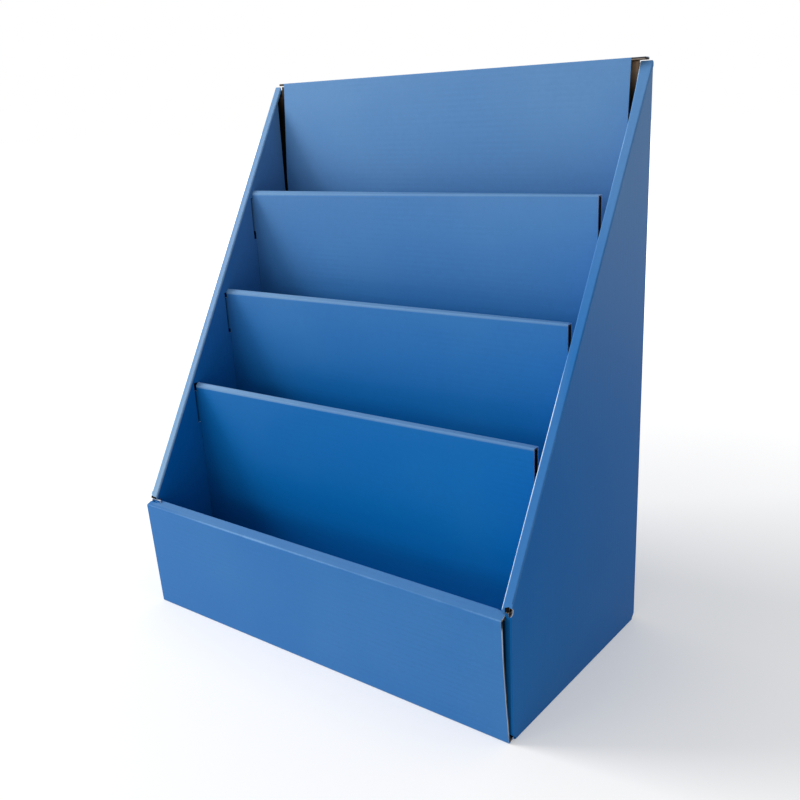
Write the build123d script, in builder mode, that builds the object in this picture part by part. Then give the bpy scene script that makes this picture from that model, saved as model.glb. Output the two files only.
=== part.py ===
from build123d import *
import os
from math import atan2, cos, sqrt

# Display stand folded from two sheets of corrugated board: an open shell with roll-over walls,
# and a stepped insert whose three upright lips make four pockets, each higher than the one before.
# X runs along the front, Y from the front to the back, and Z upwards from the table.

# Corrugated board, and the play between faces that meet
board = 1.5
clearance = 0.3
fold_radius = 0.9

# Shell, measured from the front panel's foot to the outer face of the back
width = 300.0
depth = 161.8
height = 357.0

# Front wall: it leans out to its top crease, and a short web rises from there to the back crease.
# Insets are measured from the stand's sides, gaps from the inner faces of the side walls.
front_lean = 2.0
front_height = 80.2
front_web_rise = 2.9
front_panel_foot_inset = 1.0
front_panel_middle_inset = 2.9
front_panel_top_inset = 3.8
front_ply_left_gap = 2.0
front_ply_right_gap = 3.0

# Side walls: two plies with a hollow between them, under a web that follows the slanted edge.
# The right wall's inner ply flares inwards at its rear end, and the web widens with it.
side_wall = 6.0
side_above_front = 1.8
side_below_back = 2.0
foot_chamfer = 3.5
web_slit = 0.6
relief_radius = 2.5
relief_drop = 0.8
relief_setback = 0.2
right_flare = 2.2
flare_length = 25.0

# Corner flaps of the side walls, held inside the front and back walls
flap_gap = 0.5
flap_length = 40.0
flap_corner = 4.0
front_flap_drop = 1.3
front_flap_shoulder_drop = 1.4
left_flap_shoulder = 9.5
right_flap_shoulder = 3.4
rear_flap_drop = 0.6
rear_flap_shoulder = 8.3
rear_flap_shoulder_drop = 4.0

# Back wall, with insets from the stand's sides and gaps from the side walls' inner faces
back_wall = 6.3
back_inset = 3.0
back_web_left_inset = 9.0
back_web_right_inset = 3.4
back_ply_left_gap = 2.6
back_ply_left_top_gap = 7.6
back_ply_left_taper = 65.0
back_ply_right_gap = 6.7
back_ply_right_top_gap = 5.6
back_ply_right_taper = 30.0
back_notch_width = 6.0
back_notch_height = 2.6

# Tabs that lock the inner plies into the base, at places from the stand's middle
tab_width = 24.0
side_tab_places = (-45.0, 35.0)
wall_tab_places = (-90.0, 0.0, 90.0)

# Stepped insert: each lip's front face behind the front panel's foot, and its top's drop below
# the slanted edge of the side walls
low_lip_place = 48.5
low_lip_drop = 6.0
middle_lip_place = 86.0
middle_lip_drop = 9.3
high_lip_place = 120.5
high_lip_drop = 2.0
lip_thickness = 5.0
lip_depth = 31.0
first_pocket_depth = 33.2
insert_right_gap = 7.0

# Left ends of the lips: pinched, with the front crease lower, and hooked into the side wall
pinched_lip = 3.2
pinched_drop = 3.3
hook_length = 3.3
hook_drop = 7.5
hook_play = 0.5
hook_slot_height = 29.5
hook_slot_before = 1.6
hook_slot_after = 0.6
low_slot_drop = 1.3
middle_slot_drop = 3.8
high_slot_drop = 6.7

# Faces of the walls from front to back, with the origin under the middle of the whole stand
foot_y = -(depth - front_lean) / 2
side_front_y = foot_y + board + flap_gap
web_front_y = side_front_y + board + web_slit
front_inner_y = side_front_y + board + clearance
front_back_y = front_inner_y + board
inner_front_y = front_back_y + clearance
back_y = foot_y + depth
side_rear_y = back_y - board - clearance
back_front_y = back_y - back_wall
inner_rear_y = back_front_y - clearance

# Faces of the walls from side to side
outer_x = width / 2
inner_x = outer_x - side_wall
front_panel_top_x = outer_x - front_panel_top_inset
back_web_left_x = outer_x - back_web_left_inset
insert_left_x = -(inner_x - clearance)
insert_right_x = inner_x - insert_right_gap
over = 1.0

# Heights
seat_z = board + clearance
flap_foot_z = board + foot_chamfer
front_crease_z = front_height - front_web_rise
front_flap_z = front_crease_z - front_flap_drop
side_front_z = front_height + side_above_front
side_rear_z = height - side_below_back
back_web_z = height - board
first_floor_z = front_height - first_pocket_depth

# Slanted edge of the side walls
slant_rise = (side_rear_z - side_front_z) / (side_rear_y - side_front_y)
web_drop = board / cos(atan2(slant_rise, 1))


def slant(y):
    """Height of the side walls' slanted edge at a place from front to back."""
    return side_front_z + slant_rise * (y - side_front_y)


def web_under(y):
    """Height of the underside of the side walls' web at a place from front to back."""
    return slant(y) - web_drop


lip_places = [foot_y + place for place in (low_lip_place, middle_lip_place, high_lip_place)]
lip_drops = (low_lip_drop, middle_lip_drop, high_lip_drop)
lip_tops = [slant(place) - drop for place, drop in zip(lip_places, lip_drops)]
slot_drops = (low_slot_drop, middle_slot_drop, high_slot_drop)


def other_face(corners, thickness):
    """Corners of a folded sheet's other face, on the right of the way along the given corners."""
    runs = [(Vector(*end) - Vector(*start)).normalized() for start, end in zip(corners, corners[1:])]
    sides = [Vector(run.Y, -run.X) for run in runs]
    pairs = zip([sides[0]] + sides, sides + [sides[-1]])
    mitres = [(before + after) * (thickness / (1 + before.dot(after))) for before, after in pairs]
    return [(y + mitre.X, z + mitre.Y) for (y, z), mitre in zip(corners, mitres)]


def fold_radii(corners, thickness):
    """Radius at each inner corner of one face: round where the fold's outside is, else sharp."""
    radii = []
    for first, second, third in zip(corners, corners[1:], corners[2:]):
        before = Vector(*second) - Vector(*first)
        after = Vector(*third) - Vector(*second)
        turns_right = before.cross(after).Z < 0
        radii.append(fold_radius if turns_right == (thickness > 0) else 0)
    return radii


def draw_sheet(corners, thickness):
    """Outline of a folded sheet seen from its end, drawn in the line block that is open."""
    others = other_face(corners, thickness)
    FilletPolyline(*corners, radius=fold_radii(corners, thickness))
    FilletPolyline(*others, radius=fold_radii(others, -thickness))
    Line(corners[0], others[0])
    Line(corners[-1], others[-1])


def flap_outline(top, shoulder, shoulder_top):
    """Corners of a right-hand corner flap, from its fold along the foot to the shoulder."""
    tip_x = outer_x - flap_length
    return [
        (outer_x, flap_foot_z),
        (tip_x + flap_corner, flap_foot_z),
        (tip_x, flap_foot_z + flap_corner),
        (tip_x, top - flap_corner),
        (tip_x + flap_corner, top),
        (outer_x - shoulder, top),
        (outer_x - shoulder, shoulder_top),
        (outer_x, shoulder_top),
    ]


def insert_corners(thickness, drop):
    """Corners of the insert's upper face, from its front leg over the lips to its rear leg."""
    corners = [(inner_front_y, seat_z), (inner_front_y, first_floor_z)]
    floor = first_floor_z
    for place, top in zip(lip_places, lip_tops):
        corners += [(place, floor), (place, top - drop), (place + thickness, top)]
        floor = top - lip_depth
        corners.append((place + thickness, floor))
    return corners + [(inner_rear_y, floor), (inner_rear_y, seat_z)]


def flared_x(y, flare):
    """Place of a right side wall's inner face, which bows inwards by the flare at its rear end."""
    bowed_length = y - side_rear_y + flare_length
    if flare == 0 or bowed_length <= 0:
        return inner_x
    bow_radius = (flare_length**2 + flare**2) / (2 * flare)
    return inner_x - bow_radius + sqrt(bow_radius**2 - bowed_length**2)


def draw_inner_face(start_y, end_y, flare, shift):
    """Line of the inner face seen from above, moved outwards by the shift, in the open line block."""
    bend = (inner_x + shift, side_rear_y - flare_length)
    end = (flared_x(end_y, flare) + shift, end_y)
    Line((inner_x + shift, start_y), bend)
    if flare:
        TangentArc(bend, end, tangent=(0, 1))
    else:
        Line(bend, end)


def side_web(flare):
    """Web along the slanted edge of a right side wall, wider at the rear by the flare."""
    with BuildPart() as web:
        with BuildSketch(Plane.XY):
            with BuildLine():
                draw_inner_face(web_front_y, side_rear_y, flare, 0)
                Polyline(
                    (flared_x(side_rear_y, flare), side_rear_y),
                    (outer_x, side_rear_y),
                    (outer_x, web_front_y),
                    (inner_x, web_front_y),
                )
            make_face()
        extrude(amount=height)
        with BuildSketch(Plane.YZ):
            with BuildLine():
                Polyline(
                    (web_front_y, web_under(web_front_y)),
                    (side_rear_y, web_under(side_rear_y)),
                    (side_rear_y, side_rear_z),
                    (web_front_y, slant(web_front_y)),
                    close=True,
                )
            make_face()
        extrude(amount=outer_x, mode=Mode.INTERSECT)
        top_face = web.faces().sort_by(Axis((0, 0, 0), (0, -slant_rise, 1)))[-1]
        creases = top_face.edges().filter_by(lambda edge: abs(edge.tangent_at(0.5).Z) > 0.5)
        fillet(creases, radius=fold_radius)
    return web.part


def inner_ply(flare):
    """Inner ply of a right side wall, bent inwards towards its rear end by the flare."""
    rear_x = flared_x(inner_rear_y, flare)
    with BuildPart() as ply:
        with BuildSketch(Plane.XY):
            with BuildLine():
                draw_inner_face(inner_front_y, inner_rear_y, flare, 0)
                draw_inner_face(inner_front_y, inner_rear_y, flare, board)
                Line((inner_x, inner_front_y), (inner_x + board, inner_front_y))
                Line((rear_x, inner_rear_y), (rear_x + board, inner_rear_y))
            make_face()
        extrude(amount=height)
        with BuildSketch(Plane.YZ):
            with BuildLine():
                Polyline(
                    (inner_front_y, seat_z),
                    (inner_rear_y, seat_z),
                    (inner_rear_y, web_under(inner_rear_y)),
                    (inner_front_y, web_under(inner_front_y)),
                    close=True,
                )
            make_face()
            with Locations(*[(place, seat_z / 2) for place in side_tab_places]):
                Rectangle(tab_width, seat_z)
        extrude(amount=outer_x, mode=Mode.INTERSECT)
    return ply.part


# Fold between the base and the outer ply of the right side wall
with BuildPart() as base_fold:
    fold_front_y = side_front_y + foot_chamfer
    with BuildSketch(Plane.XZ.offset(-fold_front_y)):
        with Locations((outer_x, 0)):
            Rectangle(side_wall - board - clearance, board, align=(Align.MAX, Align.MIN))
        fillet(vertices().group_by(Axis.X)[-1].sort_by(Axis.Y)[0], radius=fold_radius)
    extrude(amount=-(side_rear_y - foot_chamfer - fold_front_y))

# Outer ply of the right side wall with its two corner flaps
with BuildPart() as outer_ply:
    with BuildSketch(Plane.YZ.offset(outer_x)):
        with BuildLine():
            Polyline(
                (side_front_y, flap_foot_z),
                (side_front_y + foot_chamfer, board),
                (side_rear_y - foot_chamfer, board),
                (side_rear_y, flap_foot_z),
                (side_rear_y, web_under(side_rear_y)),
                (web_front_y, web_under(web_front_y)),
                (web_front_y, slant(web_front_y)),
                (side_front_y, side_front_z),
                close=True,
            )
        make_face()
    extrude(amount=-board)
    with BuildSketch(Plane.XZ.offset(-side_front_y)):
        with BuildLine():
            front_shoulder_z = side_front_z - front_flap_shoulder_drop
            Polyline(*flap_outline(front_flap_z, right_flap_shoulder, front_shoulder_z), close=True)
        make_face()
    extrude(amount=-board)
    with BuildSketch(Plane.XZ.offset(-side_rear_y)):
        with BuildLine():
            rear_shoulder_z = web_under(side_rear_y) - rear_flap_shoulder_drop
            Polyline(
                *flap_outline(back_web_z - rear_flap_drop, rear_flap_shoulder, rear_shoulder_z), close=True
            )
        make_face()
    extrude(amount=board)
    with BuildSketch(Plane.XY):
        with BuildLine():
            draw_sheet(
                [
                    (outer_x - flap_length, side_front_y),
                    (outer_x, side_front_y),
                    (outer_x, side_rear_y),
                    (outer_x - flap_length, side_rear_y),
                ],
                -board,
            )
        make_face()
    extrude(amount=height, mode=Mode.INTERSECT)

# Right side wall, with a round relief where the web's crease meets the front fold
with BuildPart() as right_side:
    add(outer_ply.part)
    add(base_fold.part)
    add(side_web(right_flare))
    add(inner_ply(right_flare))
    with BuildSketch(Plane.YZ.offset(outer_x)):
        with Locations((side_front_y + relief_setback, side_front_z - relief_drop)):
            Circle(relief_radius)
    extrude(amount=-board, mode=Mode.SUBTRACT)

# Left side wall: no flare, a wider shoulder on its front flap, and slots for the hooks of the lips
with BuildPart() as left_side:
    mirror(outer_ply.part, about=Plane.YZ)
    mirror(base_fold.part, about=Plane.YZ)
    mirror(side_web(0), about=Plane.YZ)
    mirror(inner_ply(0), about=Plane.YZ)
    with BuildSketch(Plane.XZ.offset(-side_front_y)):
        with Locations((-outer_x + right_flap_shoulder, front_shoulder_z)):
            Rectangle(
                left_flap_shoulder - right_flap_shoulder,
                front_shoulder_z - front_flap_z + flap_corner,
                align=(Align.MIN, Align.MAX),
            )
    extrude(amount=-board)
    with BuildSketch(Plane.YZ.offset(-outer_x)):
        with Locations((side_front_y + relief_setback, side_front_z - relief_drop)):
            Circle(relief_radius)
    extrude(amount=board, mode=Mode.SUBTRACT)
    with BuildSketch(Plane.YZ.offset(-inner_x)):
        for place, top, drop in zip(lip_places, lip_tops, slot_drops):
            slot_length = hook_slot_before + pinched_lip + hook_slot_after
            with Locations((place - hook_slot_before, top - drop)):
                Rectangle(slot_length, hook_slot_height, align=(Align.MIN, Align.MAX))
    extrude(amount=-board, mode=Mode.SUBTRACT)

# Shell: the strip of front wall, base and back wall, trimmed to its outlines, with both side walls
with BuildPart() as display_shell:
    with BuildSketch(Plane.YZ):
        with BuildLine():
            draw_sheet(
                [
                    (front_back_y, seat_z),
                    (front_back_y, front_height),
                    (foot_y - front_lean, front_crease_z),
                    (foot_y, 0),
                    (back_y, 0),
                    (back_y, height),
                    (back_front_y, height),
                    (back_front_y, seat_z),
                ],
                -board,
            )
        make_face()
    extrude(amount=outer_x, both=True)

    # Room for the side walls behind the front panel, and the ends of the rear ply
    with BuildSketch(Plane.XY.offset(-over)):
        for sign, align_x in ((-1, Align.MAX), (1, Align.MIN)):
            with Locations((sign * (outer_x - board), side_front_y)):
                Rectangle(2 * board, depth, align=(align_x, Align.MIN))
            with Locations((sign * (outer_x - back_inset), side_rear_y)):
                Rectangle(2 * back_inset, depth, align=(align_x, Align.MIN))
    extrude(amount=height + 2 * over, mode=Mode.SUBTRACT)

    # Ends of the front wall's inner ply, whose web reaches further back at the right than at the left
    with BuildSketch(Plane.XY.offset(board)):
        with Locations((-(inner_x - front_ply_left_gap), side_front_y - clearance)):
            Rectangle(width, inner_front_y - side_front_y + clearance, align=(Align.MAX, Align.MIN))
        with Locations((inner_x - front_ply_right_gap, web_front_y)):
            Rectangle(width, inner_front_y - web_front_y, align=(Align.MIN, Align.MIN))
    extrude(amount=front_height, mode=Mode.SUBTRACT)
    with BuildSketch(Plane.XY.offset(board)):
        with Locations((inner_x - front_ply_right_gap, side_front_y)):
            Rectangle(width, inner_front_y - side_front_y, align=(Align.MIN, Align.MIN))
    extrude(amount=front_flap_z - board, mode=Mode.SUBTRACT)

    # Bowed right-hand edge of the front panel
    with BuildSketch(Plane.XZ.offset(-web_front_y)):
        with BuildLine():
            ThreePointArc(
                (outer_x - front_panel_foot_inset, 0),
                (outer_x - front_panel_middle_inset, front_crease_z / 2),
                (front_panel_top_x, front_crease_z),
            )
            Polyline(
                (front_panel_top_x, front_crease_z),
                (front_panel_top_x, front_height + over),
                (outer_x + over, front_height + over),
                (outer_x + over, -over),
                (outer_x - front_panel_foot_inset, -over),
                (outer_x - front_panel_foot_inset, 0),
            )
        make_face()
    extrude(amount=web_front_y - foot_y + front_lean + over, mode=Mode.SUBTRACT)

    # Tapered ends of the back wall's front ply
    with BuildSketch(Plane.XZ.offset(-back_front_y + over)):
        with BuildLine():
            Polyline(
                (-(inner_x - back_ply_left_top_gap), back_web_z),
                (-(inner_x - back_ply_left_gap), back_web_z - back_ply_left_taper),
                (-(inner_x - back_ply_left_gap), board),
                (-outer_x, board),
                (-outer_x, back_web_z),
                close=True,
            )
        make_face()
        with BuildLine():
            Polyline(
                (inner_x - back_ply_right_top_gap, back_web_z),
                (inner_x - back_ply_right_gap, back_web_z - back_ply_right_taper),
                (inner_x - back_ply_right_gap, board),
                (outer_x, board),
                (outer_x, back_web_z),
                close=True,
            )
        make_face()
    extrude(amount=-(board + over), mode=Mode.SUBTRACT)

    # Ends of the back wall's web, and the notch in the rear ply under its right end
    notch_z = back_web_z - back_notch_height
    with BuildSketch(Plane.XZ.offset(-back_y - over)):
        with Locations((-back_web_left_x, notch_z)):
            Rectangle(width, height, align=(Align.MAX, Align.MIN))
        with Locations((outer_x - back_web_right_inset, back_web_z)):
            Rectangle(width, height, align=(Align.MIN, Align.MIN))
    extrude(amount=back_wall + 2 * over, mode=Mode.SUBTRACT)
    with BuildSketch(Plane.XZ.offset(-back_y)):
        with Locations((outer_x - back_inset, notch_z)):
            Rectangle(back_notch_width, back_notch_height, align=(Align.MAX, Align.MIN))
    extrude(amount=board, mode=Mode.SUBTRACT)

    # Slots in the base, and the tabs of the front and back plies in them
    wall_tabs = [(place, row_y) for row_y in (front_inner_y, back_front_y) for place in wall_tab_places]
    with BuildSketch(Plane.XY):
        with Locations(*[(place, row_y + board / 2) for place, row_y in wall_tabs]):
            Rectangle(tab_width + 2 * clearance, board + 2 * clearance)
        for sign in (-1, 1):
            with Locations(*[(sign * (inner_x + board / 2), place) for place in side_tab_places]):
                Rectangle(board + 2 * clearance, tab_width + 2 * clearance)
    extrude(amount=board, mode=Mode.SUBTRACT)
    with BuildSketch(Plane.XY):
        with Locations(*[(place, row_y + board / 2) for place, row_y in wall_tabs]):
            Rectangle(tab_width, board)
    extrude(amount=seat_z)
    add(right_side.part)
    add(left_side.part)
display_shell.part.label = "display_shell"

# Hooks at the left ends of the lips: tongues of both plies that pass through the side wall's slots
with BuildPart() as hooks:
    with BuildSketch(Plane.YZ.offset(insert_left_x)):
        for place, top in zip(lip_places, lip_tops):
            for ply_y in (place, place + pinched_lip - board):
                with Locations((ply_y, top - hook_drop)):
                    Rectangle(board, lip_depth - hook_drop - hook_play, align=(Align.MIN, Align.MAX))
    extrude(amount=-hook_length)

# Stepped insert: open lips at the right end run into pinched ones at the left
with BuildPart() as stepped_insert:
    with BuildSketch(Plane.YZ.offset(insert_left_x)):
        with BuildLine():
            draw_sheet(insert_corners(pinched_lip, pinched_drop), board)
        make_face()
    with BuildSketch(Plane.YZ.offset(insert_right_x)):
        with BuildLine():
            draw_sheet(insert_corners(lip_thickness, 0), board)
        make_face()
    loft(ruled=True)
    add(hooks.part)
stepped_insert.part.label = "stepped_insert"

os.makedirs("parts", exist_ok=True)
export_step(display_shell.part, "parts/display_shell.step")
export_step(stepped_insert.part, "parts/stepped_insert.step")
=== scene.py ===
import logging
import math
from dataclasses import dataclass, field
from enum import Enum
from typing import Any, Callable, Iterable, Optional, Union

import bmesh
import bpy
from bmesh.types import BMesh, BMFace, BMVert
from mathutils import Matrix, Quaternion, Vector


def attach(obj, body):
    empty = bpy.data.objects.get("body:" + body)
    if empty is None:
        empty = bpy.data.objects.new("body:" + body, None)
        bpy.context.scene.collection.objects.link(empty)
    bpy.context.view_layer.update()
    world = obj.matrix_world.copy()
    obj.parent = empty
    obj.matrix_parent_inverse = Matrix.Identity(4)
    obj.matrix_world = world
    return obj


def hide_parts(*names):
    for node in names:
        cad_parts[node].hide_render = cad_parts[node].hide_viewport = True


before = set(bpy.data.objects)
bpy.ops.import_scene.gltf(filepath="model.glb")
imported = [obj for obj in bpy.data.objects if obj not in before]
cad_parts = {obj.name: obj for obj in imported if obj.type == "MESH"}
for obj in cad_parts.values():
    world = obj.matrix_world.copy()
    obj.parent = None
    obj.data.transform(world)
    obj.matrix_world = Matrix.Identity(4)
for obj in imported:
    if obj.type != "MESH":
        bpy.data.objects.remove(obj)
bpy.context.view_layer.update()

# A countertop display stand of printed corrugated board: the folded shell and the stepped insert.
# The classes give sizes in millimetres, and the meshes are in metres.

LOG = logging.getLogger("display_stand")
MM = 0.001
BOARD = 1.5  # Thickness of the board
PITCH = 3.3  # Length of one wave of its fluting
HAIR = 0.05  # The finer tolerance by which faces are told apart
SLACK = 0.1  # The coarser one
FACING = 0.5  # Least cosine between a face's normal and the way it looks

Colour = tuple[float, float, float]
Point = tuple[float, float, float]
Pair = tuple[float, float]

WHITE: Colour = (1.0, 1.0, 1.0)
BLACK: Colour = (0.0, 0.0, 0.0)
UP, DOWN = (0, 0, 1), (0, 0, -1)
FORWARD, BACKWARD = (0, -1, 0), (0, 1, 0)
SIDEWAYS = (1, 0, 0)


def srgb(red: int, green: int, blue: int) -> Colour:
    """Turn a colour in 8-bit display values into linear light.

    Args:
        red: Red, from 0 to 255.
        green: Green, from 0 to 255.
        blue: Blue, from 0 to 255.

    Returns:
        The linear red, green and blue, from 0 to 1.
    """
    def linear(value: int) -> float:
        """One channel in linear light."""
        part = value / 255
        return part / 12.92 if part <= 0.04045 else ((part + 0.055) / 1.055) ** 2.4

    return linear(red), linear(green), linear(blue)


def limited(value: float) -> float:
    """A number kept from 0 to 1."""
    return min(max(value, 0.0), 1.0)


def between(ends: Pair, share: float) -> float:
    """The number at a share of the way from one end to the other."""
    return ends[0] + (ends[1] - ends[0]) * share


class Surface(Enum):
    """What a face of a board sheet is, with the place of its finish in the piece's slots."""

    PRINTED = 0
    KRAFT = 1
    CUT = 2


# Shader maths


@dataclass(frozen=True)
class Value:
    """A socket in a shader, which takes part in Python expressions.

    Attributes:
        shader: The shader that the socket belongs to.
        socket: The output socket that gives the number, colour or vector.
    """

    shader: "Shader"
    socket: bpy.types.NodeSocket

    def math(self, operation: str, *others: Any) -> "Value":
        """Add one Math node that takes this number first."""
        inputs = dict(enumerate((self, *others)))
        return self.shader.value("ShaderNodeMath", {"operation": operation}, inputs)

    def __add__(self, other: Any) -> "Value":
        """Sum of two numbers."""
        return self.math("ADD", other)

    __radd__ = __add__

    def __mul__(self, other: Any) -> "Value":
        """Product of two numbers."""
        return self.math("MULTIPLY", other)

    __rmul__ = __mul__

    def __sub__(self, other: Any) -> "Value":
        """Difference of two numbers."""
        return self.math("SUBTRACT", other)

    def __rsub__(self, other: float) -> "Value":
        """A number less this one."""
        return self.math("MULTIPLY_ADD", -1.0, other)

    def __pow__(self, other: Any) -> "Value":
        """This number raised to a power."""
        return self.math("POWER", other)

    def __abs__(self) -> "Value":
        """This number without its sign."""
        return self.math("ABSOLUTE")

    def sine(self) -> "Value":
        """Sine of this number."""
        return self.math("SINE")

    def lesser(self, other: Any) -> "Value":
        """The smaller of two numbers."""
        return self.math("MINIMUM", other)

    def greater(self, other: Any) -> "Value":
        """The larger of two numbers."""
        return self.math("MAXIMUM", other)

    def ramp(self, low: float, high: float) -> "Value":
        """Go smoothly from 0 to 1 between two limits.

        Args:
            low: The number that gives 0.
            high: The number that gives 1, which may be the lower one.

        Returns:
            The smooth step.
        """
        if low > high:
            return 1 - self.ramp(high, low)
        settings = {"interpolation_type": "SMOOTHSTEP", "clamp": True}
        inputs = {"Value": self, "From Min": low, "From Max": high}
        return self.shader.value("ShaderNodeMapRange", settings, inputs)

    def towards(self, other: Union["Value", Colour], share: "Value") -> "Value":
        """Mix this colour with a share of another."""
        inputs = {0: share, 6: self, 7: other}
        return self.shader.value("ShaderNodeMix", {"data_type": "RGBA", "clamp_factor": True}, inputs, 2)

    def scaled(self, factor: "Value") -> "Value":
        """Multiply this colour by a number."""
        return self.shader.value("ShaderNodeVectorMath", {"operation": "SCALE"}, {0: self, 3: factor})


class Shader:
    """The node tree of one material or world, filled from Python expressions."""

    def __init__(self, owner: Union[bpy.types.Material, bpy.types.World]) -> None:
        """Start an empty node tree.

        Args:
            owner: The material or world that the tree belongs to.
        """
        self.owner = owner
        self.owner.use_nodes = True
        self.tree = self.owner.node_tree
        self.tree.nodes.clear()

    @classmethod
    def of_material(cls, name: str) -> "Shader":
        """Start the node tree of a new material."""
        return cls(bpy.data.materials.new(name))

    def node(self, kind: str, settings: dict[str, Any], inputs: dict[Any, Any]) -> bpy.types.Node:
        """Add one node.

        Args:
            kind: The node's type.
            settings: The node's own settings, set before its sockets.
            inputs: Numbers, colours or links of its input sockets, by name or place.

        Returns:
            The new node.
        """
        node = self.tree.nodes.new(kind)
        for name, setting in settings.items():
            setattr(node, name, setting)
        for key, given in inputs.items():
            socket = node.inputs[key]
            if isinstance(given, Value):
                self.tree.links.new(given.socket, socket)
            elif isinstance(given, bpy.types.Node):
                self.tree.links.new(given.outputs[0], socket)
            elif socket.type == "RGBA":
                socket.default_value = (*given, 1.0)
            else:
                socket.default_value = given
        return node

    def value(
        self, kind: str, settings: dict[str, Any], inputs: dict[Any, Any], output: Union[int, str] = 0
    ) -> Value:
        """Add one node and take one of its outputs, by name or place."""
        return Value(self, self.node(kind, settings, inputs).outputs[output])

    def place(self) -> Value:
        """Object coordinates, in metres."""
        return self.value("ShaderNodeTexCoord", {}, {}, "Object")

    def parts(self, vector: Value) -> list[Value]:
        """The three numbers of a vector."""
        node = self.node("ShaderNodeSeparateXYZ", {}, {0: vector})
        return [Value(self, output) for output in node.outputs]

    def joined(self, *numbers: Any) -> Value:
        """A vector of three numbers."""
        return self.value("ShaderNodeCombineXYZ", {}, dict(enumerate(numbers)))

    def sheet_place(self) -> list[Value]:
        """Place on the sheet: across and along the flutes, or along an edge and a share through it."""
        return self.parts(self.value("ShaderNodeUVMap", {"uv_map": "board"}, {}))[:2]

    def attribute(self, name: str) -> Value:
        """A number that the mesh carries."""
        return self.value("ShaderNodeAttribute", {"attribute_name": name}, {}, "Fac")

    def noise(self, vector: Value, scale: float, detail: float = 2.0, roughness: float = 0.5) -> Value:
        """Noise from 0 to 1 over a vector, with finer layers of some strength."""
        inputs = {"Vector": vector, "Scale": scale, "Detail": detail, "Roughness": roughness}
        return self.value("ShaderNodeTexNoise", {}, inputs)

    def flutes(self, across: Value) -> Value:
        """The wave of the fluting, from -1 to 1, over the millimetres across it."""
        return (across * (2 * math.pi / PITCH)).sine()

    def colour(self, colour: Colour, shade: Value) -> Value:
        """A colour made lighter or darker by a number near 1."""
        inputs = {0: shade, 6: BLACK, 7: colour}
        return self.value("ShaderNodeMix", {"data_type": "RGBA", "clamp_factor": False}, inputs, 2)

    def bump(self, height: Value, distance: float) -> Value:
        """The normal of a relief whose height of 1 is a distance in metres."""
        return self.value("ShaderNodeBump", {}, {"Strength": 1.0, "Distance": distance, "Height": height})

    def background_ray(self) -> Value:
        """Whether the eye, gloss or glass looks at the surface, as 0 or 1."""
        path = self.node("ShaderNodeLightPath", {}, {})
        rays = ("Camera", "Glossy", "Transmission")
        eye, gloss, glass = (Value(self, path.outputs[f"Is {ray} Ray"]) for ray in rays)
        return eye.greater(gloss).greater(glass)

    def finish(self, shader: bpy.types.Node) -> Union[bpy.types.Material, bpy.types.World]:
        """Link the last shader to the output.

        Args:
            shader: The node that gives the finished surface.

        Returns:
            The material or world.
        """
        kind = "World" if isinstance(self.owner, bpy.types.World) else "Material"
        self.node("ShaderNodeOutput" + kind, {}, {"Surface": shader})
        return self.owner


# Finishes


@dataclass(frozen=True)
class BoardFinish:
    """What the faces of one kind look like on the board.

    Attributes:
        name: The material's name.
        roughness: How matt they are on the whole.
        gloss: Their specular level, where 0.5 is what the index of refraction gives.
        ior: Their index of refraction.
    """

    name: str = "board"
    roughness: float = 0.85
    gloss: float = 0.5
    ior: float = 1.4

    def pattern(self, shader: Shader) -> tuple[Value, Union[Value, float], Value]:
        """The colour, the roughness and the normal of the relief."""
        raise NotImplementedError

    def build(self) -> bpy.types.Material:
        """Make the material.

        Returns:
            The material.
        """
        shader = Shader.of_material(self.name)
        colour, roughness, normal = self.pattern(shader)
        looks = {"Base Color": colour, "Roughness": roughness, "Normal": normal}
        looks.update({"IOR": self.ior, "Specular IOR Level": self.gloss})
        return shader.finish(shader.node("ShaderNodeBsdfPrincipled", {}, looks))


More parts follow.
